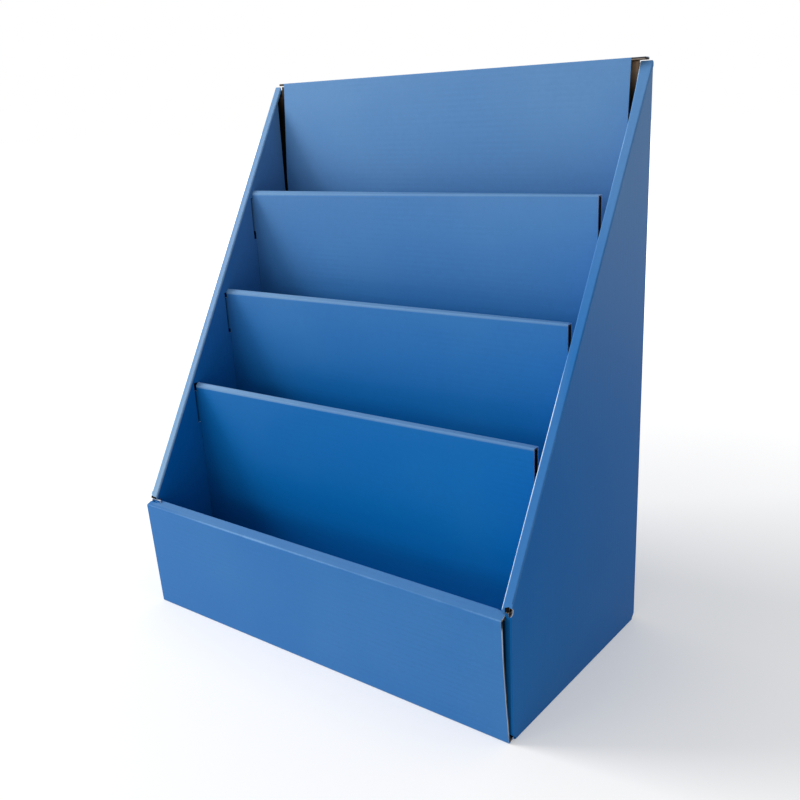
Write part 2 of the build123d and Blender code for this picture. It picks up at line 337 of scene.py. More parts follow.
@dataclass(frozen=True)
class PrintedLiner(BoardFinish):
    """Blue ink on the outer liner, matt, with painted sheen towards the top, painted highlights and painted
    shade where the sheet carries them, faint flute lines and worn creases.

    Attributes:
        ink: Colour of the fresh ink.
        ink_faded: What the clouds turn it into.
        ink_painted_sheen: The pale colour that the painted sheen turns it into.
        ink_scuffed: What rubbing turns it into.
        bare_paper: Colour of the paper where the ink is gone.
        painted_sheen_height: Heights between which the painted sheen grows, in metres.
        painted_sheen_top: How strong the painted sheen is at the upper of them.
        darkest: How much light the ink loses where the sheet carries painted shade.
        cloud_shown: How much of the faded ink the clouds show.
        mottle_shown: How strongly the mottle shows.
        grain_shown: How strongly the finer grain shows.
        streak_shown: How strongly the streaks along the flutes show.
        flute_shown: How strongly the flutes show.
        scuffed_share: Wear between which the ink gets scuffed.
        bare_share: Wear between which the paper gets bare.
        reliefs: Heights of the flutes, the grain and the mottle, in millimetres.
    """

    name: str = "printed_liner"
    roughness: float = 0.34
    gloss: float = 0.06
    ior: float = 1.45
    ink: Colour = srgb(5, 99, 171)
    ink_faded: Colour = srgb(37, 117, 181)
    ink_painted_sheen: Colour = srgb(129, 162, 190)
    ink_scuffed: Colour = srgb(140, 186, 230)
    bare_paper: Colour = srgb(216, 230, 242)
    painted_sheen_height: Pair = (0.12, 0.377)
    painted_sheen_top: float = 0.42
    darkest: float = 0.8
    cloud_shown: float = 0.22
    mottle_shown: float = 0.10
    grain_shown: float = 0.06
    streak_shown: float = 0.05
    flute_shown: float = 0.016
    scuffed_share: Pair = (0.16, 0.7)
    bare_share: Pair = (0.58, 0.8)
    reliefs: tuple[float, float, float] = (0.003, 0.006, 0.012)

    def pattern(self, shader: Shader) -> tuple[Value, Union[Value, float], Value]:
        """The colour, the roughness and the normal of the relief.

        Args:
            shader: The material's shader.

        Returns:
            The three of them.
        """
        place = shader.place()
        across, along = shader.sheet_place()
        wear, painted_light = shader.attribute("wear"), shader.attribute("painted_light")

        cloud = shader.noise(place, 9.0, 3.0)
        mottle = shader.noise(place, 260.0, 3.0, 0.6) - 0.5
        grain = shader.noise(place, 1500.0, 2.0) - 0.5
        streak = shader.noise(shader.joined(across * 0.9, along * 0.02, 0.0), 1.0, 2.0) - 0.5
        flute = shader.flutes(across) * shader.noise(place, 14.0, 2.0).ramp(0.35, 0.65)

        shade = 1 + mottle * self.mottle_shown + grain * self.grain_shown + streak * self.streak_shown
        shade = shade + flute * self.flute_shown
        ink = shader.colour(self.ink, shade)
        ink = ink.towards(self.ink_faded, cloud.ramp(0.42, 0.75) * self.cloud_shown)
        # Painted shade: the ink is darkened where the sheet carries painted shade.
        ink = ink.scaled(1 + painted_light.lesser(0.0) * self.darkest)
        # Painted sheen: the ink turns pale with height, or as far as the sheet's painted sheen or highlight
        # says, whichever is more.
        painted_sheen = (shader.parts(place)[2].ramp(*self.painted_sheen_height) * self.painted_sheen_top).greater(painted_light)
        ink = ink.towards(shader.colour(self.ink_painted_sheen, shade), painted_sheen * (0.75 + cloud * 0.5))

        chips = shader.noise(place, 700.0, 3.0, 0.65) - 0.5
        patches = shader.noise(place, 70.0, 2.0) - 0.5
        rubbed = wear + chips * 0.22 + patches * 0.3
        colour = ink.towards(self.ink_scuffed, rubbed.ramp(*self.scuffed_share) * 0.55)
        colour = colour.towards(self.bare_paper, rubbed.ramp(*self.bare_share) * 0.85)

        relief = flute * self.reliefs[0] + grain * self.reliefs[1] + mottle * self.reliefs[2]
        roughness = self.roughness + mottle * 0.10 + wear.ramp(0.02, 0.3) * 0.3
        return colour, roughness, shader.bump(relief, MM)


@dataclass(frozen=True)
class KraftLiner(BoardFinish):
    """Unprinted brown inner liner, with fibres, painted shadows of the flutes, and painted shade low down in
    the hollow walls and on the left.

    Attributes:
        paper: The paper's colour.
        dark_fibre: Colour of its darker fibres.
        pale_fibre: Colour of its paler flecks.
        painted_light_height: Heights between which the painted shade gives way to the full colour, in metres.
        painted_shade_level: How much of the colour the painted shade leaves below them.
        painted_light_side: Places from left to right between which the painted shade lifts, in metres.
        painted_shade_left: How much of the colour the painted shade leaves on the left.
    """

    name: str = "kraft_liner"
    roughness: float = 0.78
    gloss: float = 0.1
    paper: Colour = srgb(130, 109, 88)
    dark_fibre: Colour = srgb(92, 74, 57)
    pale_fibre: Colour = srgb(142, 123, 101)
    painted_light_height: Pair = (0.334, 0.357)
    painted_shade_level: float = 0.03
    painted_light_side: Pair = (-0.05, 0.05)
    painted_shade_left: float = 0.22

    def pattern(self, shader: Shader) -> tuple[Value, Union[Value, float], Value]:
        """The colour, the roughness and the normal of the relief.

        Args:
            shader: The material's shader.

        Returns:
            The three of them.
        """
        place = shader.place()
        across, along = shader.sheet_place()
        fibres = shader.noise(shader.joined(across * 2.2, along * 0.35, 0.0), 1.0, 4.0, 0.7)
        flecks = shader.noise(place, 1100.0, 3.0, 0.7)
        cloud = shader.noise(place, 30.0, 3.0) - 0.5
        flute = shader.flutes(across)
        # Painted shadows of the flutes, with random clouding of the paper.
        colour = shader.colour(self.paper, 1 + cloud * 0.16 + flute * 0.05)
        colour = colour.towards(self.dark_fibre, fibres.ramp(0.5, 0.78) * 0.6)
        colour = colour.towards(self.pale_fibre, flecks.ramp(0.58, 0.75) * 0.45)
        # Painted shade: the kraft is darkened low down in the hollow walls and on the left, where little
        # light reaches.
        side, _, height = shader.parts(place)
        painted_lit = self.painted_shade_level + height.ramp(*self.painted_light_height) * (1 - self.painted_shade_level)
        colour = colour.scaled(painted_lit * (self.painted_shade_left + side.ramp(*self.painted_light_side) * (1 - self.painted_shade_left)))
        relief = flute * 0.02 + (fibres - 0.5) * 0.03 + (flecks - 0.5) * 0.02
        return colour, self.roughness + (flecks - 0.5) * 0.1, shader.bump(relief, MM)


@dataclass(frozen=True)
class CutEdge(BoardFinish):
    """Raw edge of the board: a white-faced liner, the fluting with painted shade in the hollows beside it,
    and a kraft liner.

    Attributes:
        white_liner: Colour of the outer liner's white face.
        ink_edge: Colour of the ink's edge on it.
        kraft: Colour of the inner liner.
        fluting: Colour of the fluting paper.
        painted_hollow_shade: Colour of the painted shade in the hollows beside it.
        liner_share: Share of the board's depth that the white face takes up.
        medium_share: Share at which the fluting paper has its middle.
        medium_wave: How far it waves to each side.
        paper_share: Half of its thickness.
    """

    name: str = "cut_edge"
    white_liner: Colour = srgb(196, 212, 234)
    ink_edge: Colour = srgb(84, 138, 200)
    kraft: Colour = srgb(100, 84, 68)
    fluting: Colour = srgb(128, 120, 112)
    painted_hollow_shade: Colour = srgb(34, 32, 34)
    liner_share: float = 0.42
    medium_share: float = 0.66
    medium_wave: float = 0.2
    paper_share: float = 0.08

    def pattern(self, shader: Shader) -> tuple[Value, Union[Value, float], Value]:
        """The colour, the roughness and the normal of the relief.

        Args:
            shader: The material's shader.

        Returns:
            The three of them.
        """
        place = shader.place()
        along, depth = shader.sheet_place()
        crush = shader.noise(place, 180.0, 2.0) - 0.5
        fray = shader.noise(place, 1400.0, 3.0, 0.7) - 0.5
        phase = along * (2 * math.pi / PITCH) + crush * 1.6
        off_medium = abs(depth - (self.medium_share + phase.sine() * self.medium_wave) + fray * 0.06)
        medium = off_medium.ramp(self.paper_share * 1.9, self.paper_share)
        frayed = depth + fray * 0.08
        outer = frayed.ramp(self.liner_share + 0.05, self.liner_share - 0.03)
        inner = frayed.ramp(0.84, 0.9)
        shade = 1 + fray * 0.3
        # Painted shade: the hollows between the liners and the fluting start out dark.
        colour = shader.colour(self.painted_hollow_shade, shade)
        colour = colour.towards(shader.colour(self.fluting, shade), medium)
        colour = colour.towards(shader.colour(self.white_liner, shade), outer)
        colour = colour.towards(self.ink_edge, depth.ramp(0.07, 0.03) * 0.6)
        colour = colour.towards(shader.colour(self.kraft, shade), inner)
        height = medium.greater(outer).greater(inner) + fray * 0.2
        return colour, self.roughness, shader.bump(height, 0.2 * MM)


@dataclass(frozen=True)
class StudioFloor:
    """Pale plain floor that goes over into the white background and keeps the stand's shadow.

    Attributes:
        name: The material's name.
        paint: Colour of the floor.
        near_glow: What is added for the eye close to the stand.
        far_glow: What is added to that far from it.
        glow_reach: Distances between which it goes from one to the other, in metres.
    """

    name: str = "studio_floor"
    paint: Colour = (0.79, 0.79, 0.79)
    near_glow: float = 0.25
    far_glow: float = 0.76
    glow_reach: Pair = (0.2, 1.6)

    def build(self) -> bpy.types.Material:
        """Make the material.

        Returns:
            The material.
        """
        shader = Shader.of_material(self.name)
        across, along, _ = shader.parts(shader.place())
        reach = (across * across + along * along) ** 0.5
        light = shader.colour(WHITE, self.near_glow + reach.ramp(*self.glow_reach) * self.far_glow)
        paint = shader.node("ShaderNodeBsdfDiffuse", {}, {"Color": self.paint})
        glow = shader.node("ShaderNodeEmission", {}, {"Color": light, "Strength": 1.0})
        unlit = shader.node("ShaderNodeEmission", {}, {"Color": BLACK, "Strength": 0.0})
        shown = shader.node("ShaderNodeMixShader", {}, {0: shader.background_ray(), 1: unlit, 2: glow})
        return shader.finish(shader.node("ShaderNodeAddShader", {}, {0: paint, 1: shown}))


# Board sheets


@dataclass(frozen=True)
class Liner:
    """A flat stretch of the printed liner. The kraft liner lies one board's thickness behind it.

    Attributes:
        point: A point on the printed face, in millimetres.
        normal: The printed face's outward direction.
        parallel: Cosine of the turn up to which a face counts as parallel to it.
        near: Distance up to which a face counts as in its plane.
    """

    point: Point
    normal: Point
    parallel: float = 0.9995
    near: float = 0.06

    def faces(self, centre: Vector, normal: Vector) -> Surface:
        """Tell which liner a face belongs to, if it is one of this stretch.

        Args:
            centre: The face's centre, in millimetres.
            normal: The face's normal.

        Returns:
            The printed or the kraft liner, or the cut edge where it is neither.
        """
        outward = Vector(self.normal).normalized()
        height = (centre - Vector(self.point)).dot(outward)
        turn = normal.dot(outward)
        if turn > self.parallel and abs(height) < self.near:
            return Surface.PRINTED
        if turn < -self.parallel and abs(height + BOARD) < self.near:
            return Surface.KRAFT
        return Surface.CUT


@dataclass(frozen=True)
class Crease:
    """A fold of the board, worn along its outer face.

    Attributes:
        start: One end of the fold, in millimetres.
        end: Its other end.
        panels: Directions from the fold into the two panels that it joins.
        wear: How worn it is, from 0 to 1.
        reach: How far from the fold its wear ends, in millimetres.
        along: How the wear changes along the fold: shares of its length, each with a factor.
        lines: Shares of the reach at which a line beside the fold is cut.
        fade: Power with which the wear fades out.
    """

    start: Point
    end: Point
    panels: tuple[Point, Point]
    wear: float = 1.0
    reach: float = 2.4
    along: tuple[Pair, ...] = ((0.0, 1.0), (1.0, 1.0))
    lines: tuple[float, ...] = (0.25, 0.5, 1.0)
    fade: float = 1.6

    @classmethod
    def level(cls, ends: Pair, place: Pair, panels: tuple[Point, Point], **wear: Any) -> "Crease":
        """A fold that runs level across the stand, from its two ends, its place and its height."""
        return cls((ends[0], *place), (ends[1], *place), panels, **wear)

    def score(self, mesh: BMesh) -> None:
        """Cut lines beside and across the fold, so that its wear can fade out and change there.

        Args:
            mesh: The sheet's mesh, in metres.
        """
        whole = Vector(self.end) - Vector(self.start)
        run = whole.normalized()
        for panel in self.panels:
            into = Vector(panel).normalized()
            square = (into - run * into.dot(run)).normalized()
            for share in self.lines:
                self.cut(mesh, Vector(self.start) + square * self.reach * share, square)
        for share, _ in self.along[1:-1]:
            self.cut(mesh, Vector(self.start) + whole * share, run)

    def cut(self, mesh: BMesh, place: Vector, square: Vector) -> None:
        """Cut the faces near the fold along a plane.

        Args:
            mesh: The sheet's mesh, in metres.
            place: A point of the plane, in millimetres.
            square: The direction square to the plane.
        """
        near = [vert for vert in mesh.verts if self.distance(vert.co / MM) < self.reach + 2 * SLACK]
        part_faces(mesh, (face for vert in near for face in vert.link_faces), place, square)

    def wear_at(self, place: Vector) -> float:
        """How worn the board is at a point.

        Args:
            place: The point, in millimetres.

        Returns:
            The wear, from 0.
        """
        distance = self.distance(place)
        if distance >= self.reach:
            return 0.0
        share = self.share(place)
        stretches = zip(self.along, self.along[1:])
        (low, low_factor), (high, high_factor) = next(pair for pair in stretches if share <= pair[1][0])
        factor = between((low_factor, high_factor), (share - low) / (high - low))
        return self.wear * factor * (1 - distance / self.reach) ** self.fade

    def share(self, place: Vector) -> float:
        """Share of the fold's length that is nearest to a point in millimetres."""
        run = Vector(self.end) - Vector(self.start)
        return limited((place - Vector(self.start)).dot(run) / run.length_squared)

    def distance(self, place: Vector) -> float:
        """Distance of a point from the fold, in millimetres."""
        run = Vector(self.end) - Vector(self.start)
        return (place - Vector(self.start) - run * self.share(place)).length


def part_faces(mesh: BMesh, chosen: Iterable[BMFace], place: Vector, square: Vector) -> None:
    """Cut some faces of a mesh along a plane.

    Args:
        mesh: The mesh, in metres.
        chosen: The faces to cut.
        place: A point of the plane, in millimetres.
        square: The direction square to the plane.
    """
    faces = list(dict.fromkeys(chosen))
    edges = dict.fromkeys(edge for face in faces for edge in face.edges)
    verts = dict.fromkeys(vert for face in faces for vert in face.verts)
    geometry = [*verts, *edges, *faces]
    bmesh.ops.bisect_plane(mesh, geom=geometry, plane_co=place * MM, plane_no=square)


@dataclass
class BoardSheet:
    """One folded sheet of corrugated board that takes the place of its plain model.

    Attributes:
        node: The plain model's name.
        slot: The record's material slot, which is not used.
        finishes: The finishes of the printed face, the kraft face and the cut edges.
        round_fold: Least cosine between two faces that one liner is carried over.
        sharp: Least angle between two faces that meet in a sharp edge.
        side_waves: Share of the fluting's waves that shows on edges along it.
        shallow_share: Share of the board's depth below which a corner lies on the printed side.
        deep_share: Share above which it lies on the kraft side.
    """

    node: str
    slot: str
    finishes: tuple[BoardFinish, BoardFinish, BoardFinish]
    round_fold: float = 0.55
    sharp: float = math.radians(30)
    side_waves: float = 0.03
    shallow_share: float = 0.3
    deep_share: float = 0.7

    def creases(self) -> list[Crease]:
        """Folds that show wear."""
        raise NotImplementedError

    def surface(self, centre: Vector, normal: Vector) -> Surface:
        """What a face of the sheet is, from its centre in millimetres and its normal."""
        raise NotImplementedError

    def flute_run(self, centre: Vector) -> Vector:
        """Direction in which the flutes run at a place in millimetres."""
        raise NotImplementedError

    def raw_edge(self, centre: Vector, normal: Vector) -> Optional[Surface]:
        """What a face is that no liner is carried round to, though its neighbours turn into it smoothly."""
        return None

    def painted_light_at(self, place: Vector) -> float:
        """How strong the painted sheen or highlight is at a point in millimetres, up to 1, or how dark the
        painted shade is, down to -1.
        """
        return 0.0

    def start_mesh(self) -> BMesh:
        """Take a merged copy of the plain model.

        Returns:
            The copy, in metres.
        """
        mesh = bmesh.new()
        mesh.from_mesh(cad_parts[self.node].data)
        bmesh.ops.remove_doubles(mesh, verts=mesh.verts[:], dist=MM * MM)
        mesh.normal_update()
        return mesh

    def sort_faces(self, mesh: BMesh) -> None:
        """Give each face its finish, and carry the liners round the folds.

        Args:
            mesh: The sheet's mesh, in metres.
        """
        found: dict[BMFace, Surface] = {}
        raw: set[BMFace] = set()
        for face in mesh.faces:
            centre = face.calc_center_median() / MM
            edge_kind = self.raw_edge(centre, face.normal)
            found[face] = edge_kind or self.surface(centre, face.normal)
            if edge_kind:
                raw.add(face)
        front = [face for face, kind in found.items() if kind is not Surface.CUT and face not in raw]
        while front:
            face = front.pop()
            for other in [other for edge in face.edges for other in edge.link_faces]:
                if other in raw or found[other] is not Surface.CUT:
                    continue
                if other.normal.dot(face.normal) > self.round_fold:
                    found[other] = found[face]
                    front.append(other)
        for face, kind in found.items():
            face.material_index = kind.value

    def depth_share(self, vert: BMVert) -> float:
        """How far through the board a corner of a cut edge lies, from the printed side."""
        kinds = {face.material_index for face in vert.link_faces}
        if Surface.PRINTED.value in kinds:
            return 0.0
        return 1.0 if Surface.KRAFT.value in kinds else 0.5

    def lay_out(self, mesh: BMesh) -> None:
        """Give each corner its place across and along the flutes, or along and through a cut edge.

        Args:
            mesh: The sheet's mesh, in metres.
        """
        layer = mesh.loops.layers.uv.new("board")
        for face in mesh.faces:
            flutes = self.flute_run(face.calc_center_median() / MM)
            across = face.normal.cross(flutes)
            if across.length < 0.2:
                across = face.normal.orthogonal()
            across.normalize()
            if face.material_index == Surface.CUT.value:
                self.lay_edge(face, layer, across, flutes)
                continue
            along = across.cross(face.normal)
            for loop in face.loops:
                place = loop.vert.co / MM
                loop[layer].uv = (place.dot(across), place.dot(along))

    def lay_edge(self, face: BMFace, layer: Any, across: Vector, flutes: Vector) -> None:
        """Give the corners of a cut edge their place along it and their share of the board's depth.

        Args:
            face: The cut face.
            layer: The mesh's UV map.
            across: The direction in the face that crosses the flutes.
            flutes: The direction of the flutes.
        """
        shares = {loop.vert: self.depth_share(loop.vert) for loop in face.loops}
        deep = [vert.co for vert, share in shares.items() if share > self.deep_share]
        shallow = [vert.co for vert, share in shares.items() if share < self.shallow_share]
        through = across
        if deep and shallow:
            through = sum(deep, Vector()) / len(deep) - sum(shallow, Vector()) / len(shallow)
        edge_run = self.edge_direction(face, face.normal.cross(through))
        stretch = 1.0 if abs(face.normal.dot(flutes)) > FACING else self.side_waves
        for loop in face.loops:
            loop[layer].uv = ((loop.vert.co / MM).dot(edge_run) * stretch, shares[loop.vert])

    def edge_direction(self, face: BMFace, guess: Vector) -> Vector:
        """Direction along a cut edge: the main axis in the face that is nearest to a guess.

        Args:
            face: The cut face.
            guess: The direction square to the way through the board.

        Returns:
            The direction, of length 1.
        """
        main = map(Vector, (SIDEWAYS, BACKWARD, UP))
        axes = [axis - face.normal * axis.dot(face.normal) for axis in main]
        axes = [axis.normalized() for axis in axes if axis.length > 0.4]
        return max(axes, key=lambda axis: abs(axis.dot(guess)))

    def mark_wear_and_painted_light(self, mesh: BMesh) -> None:
        """Give each vertex the wear of the folds near it, and the painted sheen, highlights and shade of the
        print.

        Args:
            mesh: The sheet's mesh, in metres.
        """
        wear = mesh.verts.layers.float.new("wear")
        painted_light = mesh.verts.layers.float.new("painted_light")
        folds = self.creases()
        for vert in mesh.verts:
            vert[wear] = max(fold.wear_at(vert.co / MM) for fold in folds)
            # Painted sheen, highlights and shade of the print, kept for its material.
            vert[painted_light] = self.painted_light_at(vert.co / MM)

    def build(self) -> bpy.types.Object:
        """Make the sheet and dress it.

        Returns:
            The finished piece.
        """
        mesh = self.start_mesh()
        self.sort_faces(mesh)
        for fold in self.creases():
            fold.score(mesh)
        mesh.normal_update()
        self.lay_out(mesh)
        self.mark_wear_and_painted_light(mesh)
        for face in mesh.faces:
            face.smooth = True
        for edge in mesh.edges:
            edge.smooth = len(edge.link_faces) == 2 and edge.calc_face_angle(0.0) < self.sharp
        data = bpy.data.meshes.new(self.node + "_board")
        mesh.to_mesh(data)
        mesh.free()
        piece = bpy.data.objects.new(self.node + "_board", data)
        bpy.context.scene.collection.objects.link(piece)
        for finish in self.finishes:
            data.materials.append(finish.build())
        even = piece.modifiers.new("even_shading", "WEIGHTED_NORMAL")
        even.keep_sharp = True
        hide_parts(self.node)
        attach(piece, "root")
        kinds = [Surface(polygon.material_index) for polygon in data.polygons]
        counts = {kind.name.lower(): kinds.count(kind) for kind in Surface}
        LOG.info("%s: %d faces, %s", piece.name, len(kinds), counts)
        return piece


@dataclass(frozen=True)
class SideWear:
    """How the folds of one side wall are worn.

    Attributes:
        outer: Wear of the slanted edge's outer fold.
        outer_reach: How far that wear reaches, in millimetres.
        inner: Wear of its inner fold.
        front: Wear of the upright fold at the front corner.
        inner_along: How the inner fold's wear changes up to the bow.
        bow_along: How it changes along the bow.
    """

    outer: float
    outer_reach: float
    inner: float
    front: float
    inner_along: tuple[Pair, ...] = ((0.0, 1.0), (1.0, 1.0))
    bow_along: tuple[Pair, ...] = ((0.0, 1.0), (1.0, 1.0))


@dataclass
class DisplayShell(BoardSheet):
    """The open shell: front wall, base, back wall and the two slanted side walls.

    Attributes:
        width: The stand's width, in millimetres.
        foot_y: Where the front panel stands.
        crease_y: Where its top crease is, leaning out over the foot.
        crease_z: Height of that crease.
        front_back_y: Rear face of the front wall.
        front_z: Height of the front wall's back crease.
        side_front_y: Front end of the side walls.
        side_front_z: Height of the slanted edge there.
        side_rear_y: Rear end of the side walls.
        side_rear_z: Height of the slanted edge there.
        side_wall: Thickness of a side wall over both plies.
        back_front_y: Front face of the back wall.
        back_y: Outer face of the back.
        back_ply: Left and right end of the back wall's front ply at its top.
        back_web_crease: Depth of the front crease of the back's web.
        height: Height of the back wall.
        flare: How far the right inner ply stands in at its rear end.
        flare_y: Where its bow begins.
        web_front_y: Front end of the side walls' webs.
        inner_front_y: Front edge of the side walls' inner plies.
        foot_end_y: How far the webs' feet reach down to the front wall.
        foot_lap: How far those feet lap into the webs.
        foot_sink: How far they lie under the webs' faces.
        foot_width: Widths of those feet, left and right.
        foot_taper: How much shorter they are at their outer ends, left and right.
        foot_floor: How far above the flaps' shoulders the left foot ends.
        foot_zone: How far the feet's ends reach behind the side walls' front, below the shoulders and above
            the slanted edge's front end.
        foot_dark_x: Where the part of the right foot's end that is darkened with painted shade begins.
        ply_setback: How far the left inner ply stays behind the left foot's end.
        ply_floor: How far above the shoulders it ends.
        panel_end_x: Where the flaps come out from behind the front panel.
        flap_shoulder_z: Height of the front flaps' shoulders.
        shoulder_share: How much of the board's depth shows on the shoulders, left and right.
        relief_y: Middle of the round reliefs at the front corners.
        relief_z: Height of that middle.
        relief_radius: Radius of those reliefs.
        relief_rim: Distance from that radius up to which a corner is on the rim.
        relief_share: How the board's depth shows on the rims, on the outer and the inner side.
        bar_share: How it shows on the front edge of the back's web, above and below.
        fold_radius: Radius of the folds' outsides.
        crease_ends: Left and right ends of the front panel's top crease, the front wall's back crease and
            the crease at the front panel's foot.
        base_crease: Front and rear ends of the creases between the base and the side walls.
        corner_crease_z: Height at which the upright corner creases begin.
        web_margin: How far past the front web's rear and upper ends its painted highlight reaches.
        light_front: How strong the painted sheen is on the front panel.
        light_front_web: How strong the painted highlight is on the front web's left and right ends.
        light_left: How strong the painted highlight is at the foot of the left side's web, and at least along
            that web.
        light_right: How strong the painted highlight is on the lower part of the right side's web.
        light_right_end: Share of that web's height at which this ends, and over which it does.
        dark_flap: How dark the painted shade is on the front flaps, behind the front panel and beside it.
        left_wear: How the left side wall's folds are worn.
        right_wear: How the right side wall's folds are worn.
        outer_along: How the wear of both slanted edges' outer folds changes.
        front_along: How the wear of the front panel's top crease changes.
    """

    width: float = 300.0
    foot_y: float = -79.9
    crease_y: float = -81.9
    crease_z: float = 77.3
    front_back_y: float = -74.6
    front_z: float = 80.2
    side_front_y: float = -77.9
    side_front_z: float = 82.0
    side_rear_y: float = 80.1
    side_rear_z: float = 355.0
    side_wall: float = 6.0
    back_front_y: float = 75.6
    back_y: float = 81.9
    back_ply: Pair = (-136.4, 138.4)
    back_web_crease: float = 1.3
    height: float = 357.0
    flare: float = 2.2
    flare_y: float = 55.1
    web_front_y: float = -75.8
    inner_front_y: float = -74.3
    foot_end_y: float = -77.6
    foot_lap: float = 0.7
    foot_sink: float = 0.02
    foot_width: Pair = (5.98, 4.5)
    foot_taper: Pair = (0.1, 0.9)
    foot_floor: float = 0.3
    foot_zone: tuple[float, float, float] = (1.4, 1.5, 2.2)
    foot_dark_x: float = 145.9
    ply_setback: float = 0.8
    ply_floor: float = 0.15
    panel_end_x: float = 146.4
    flap_shoulder_z: float = 80.6
    shoulder_share: Pair = (0.2, 0.62)
    relief_y: float = -77.7
    relief_z: float = 81.2
    relief_radius: float = 2.5
    relief_rim: float = 0.35
    relief_share: Pair = (0.27, 0.8)
    bar_share: Pair = (0.4, 1.0)
    fold_radius: float = 0.9
    crease_ends: tuple[Pair, Pair, Pair] = ((-146.2, 146.2), (-142.0, 141.0), (-149.0, 149.0))
    base_crease: Pair = (-74.0, 76.0)
    corner_crease_z: float = 5.0
    web_margin: Pair = (0.3, 0.2)
    light_front: float = 0.17
    light_front_web: Pair = (0.36, 0.26)
    light_left: Pair = (0.85, 0.55)
    light_right: float = 0.17
    light_right_end: Pair = (0.55, 0.1)
    dark_flap: Pair = (-1.0, -0.45)
    left_wear: SideWear = SideWear(outer=0.7, outer_reach=3.6, inner=0.7, front=0.5)
    right_wear: SideWear = SideWear(
        outer=0.28,
        outer_reach=2.4,
        inner=1.5,
        front=0.2,
        inner_along=(
            (0.0, 0.95), (0.12, 0.9), (0.25, 1.1), (0.42, 1.1),
            (0.5, 0.65), (0.58, 0.05), (0.82, 0.1), (1.0, 0.7),
        ),
        bow_along=((0.0, 0.7), (0.45, 1.0), (1.0, 1.1)),
    )
    outer_along: tuple[Pair, ...] = ((0.0, 1.0), (0.3, 1.2), (0.5, 0.5), (1.0, 0.6))
    front_along: tuple[Pair, ...] = (
        (0.0, 0.9), (0.12, 0.7), (0.3, 1.15), (0.5, 1.0), (0.72, 0.75), (0.9, 0.5), (1.0, 0.9)
    )

    def start_mesh(self) -> BMesh:
        """Take the merged copy of the plain model, and grow what closes the front corners.

        Returns:
            The mesh, in metres.
        """
        mesh = super().start_mesh()
        for side in (-1, 1):
            self.grow_foot(mesh, side)
        self.grow_ply(mesh)
        for end_x in self.back_ply:
            self.part_across(mesh, end_x, self.on_web_front)
        for end_x in (-self.panel_end_x, self.panel_end_x):
            self.part_across(mesh, end_x, self.on_flap_front)
        self.part_across(mesh, self.foot_dark_x, self.on_foot_end)
        mesh.normal_update()
        return mesh

    def on_web_front(self, place: Vector) -> bool:
        """Whether a point in millimetres is on the front crease of the back's web."""
        return place.z > self.height - BOARD - SLACK and place.y < self.back_front_y + self.back_web_crease

    def on_flap_front(self, place: Vector) -> bool:
        """Whether a point in millimetres is on the front face of a front corner flap."""
        return abs(place.y - self.side_front_y) < HAIR and abs(place.x) > self.width / 4

    def part_across(self, mesh: BMesh, end_x: float, chosen: Callable[[Vector], bool]) -> None:
        """Cut chosen faces along an upright plane from front to back, where the plane stands at end_x."""
        faces = [face for face in mesh.faces if all(chosen(vert.co / MM) for vert in face.verts)]
        part_faces(mesh, faces, Vector((end_x, 0, 0)), Vector(SIDEWAYS))

    def grow_foot(self, mesh: BMesh, side: int) -> None:
        """Carry a side wall's web on down to the front wall, beside the round relief.

        Args:
            mesh: The shell's mesh, in metres.
            side: 1 for the right side wall, -1 for the left.
        """
        inner = self.width / 2 - self.side_wall
        slant = self.slant_run()
        lowest = self.flap_shoulder_z + self.foot_floor if side < 0 else 0.0

        web = bmesh.ops.create_cube(mesh, size=1.0)["verts"]
        for vert in web:
            outer, rear, top = vert.co.x * side > 0, vert.co.y > 0, vert.co.z > 0
            x = side * (inner + (self.foot_width[side > 0] if outer else 0.0))
            taper = self.foot_taper[side > 0] if outer else 0.0
            y = self.web_front_y + self.foot_lap if rear else self.foot_end_y + taper
            z = self.slant_height(y) - self.foot_sink
            vert.co = Vector((x, y, z if top else max(z - BOARD / slant.y, lowest))) * MM
        highest = max(vert.co.z for vert in web)
        folds = [
            edge
            for edge in dict.fromkeys(edge for vert in web for edge in vert.link_edges)
            if (side < 0 or edge.verts[0].co.x / MM < inner + SLACK)
            and abs((edge.verts[0].co - edge.verts[1].co).normalized().dot(slant)) > 0.9
            and abs(edge.verts[0].co.x - edge.verts[1].co.x) < SLACK * MM
            and max(vert.co.z for vert in edge.verts) == highest
        ]
        radius = self.fold_radius * MM
        bmesh.ops.bevel(mesh, geom=folds, offset=radius, segments=4, profile=0.5, affect="EDGES", material=-1)

    def grow_ply(self, mesh: BMesh) -> None:
        """Carry the left side wall's inner ply on to the front wall, under the web's foot.

        Args:
            mesh: The shell's mesh, in metres.
        """
        inner = self.side_wall - self.width / 2
        for vert in bmesh.ops.create_cube(mesh, size=1.0)["verts"]:
            x = inner if vert.co.x > 0 else inner - BOARD
            y = self.inner_front_y if vert.co.y > 0 else self.foot_end_y + self.ply_setback
            under_web = self.slant_height(y) - BOARD / self.slant_run().y
            z = under_web if vert.co.z > 0 else self.flap_shoulder_z + self.ply_floor
            vert.co = Vector((x, y, z)) * MM

    def slant_run(self) -> Vector:
        """Direction of the side walls' slanted edge."""
        depth, rise = self.side_rear_y - self.side_front_y, self.side_rear_z - self.side_front_z
        return Vector((0, depth, rise)).normalized()

    def slant_height(self, y: float) -> float:
        """Height of that edge at a place from front to back."""
        share = (y - self.side_front_y) / (self.side_rear_y - self.side_front_y)
        return between((self.side_front_z, self.side_rear_z), share)

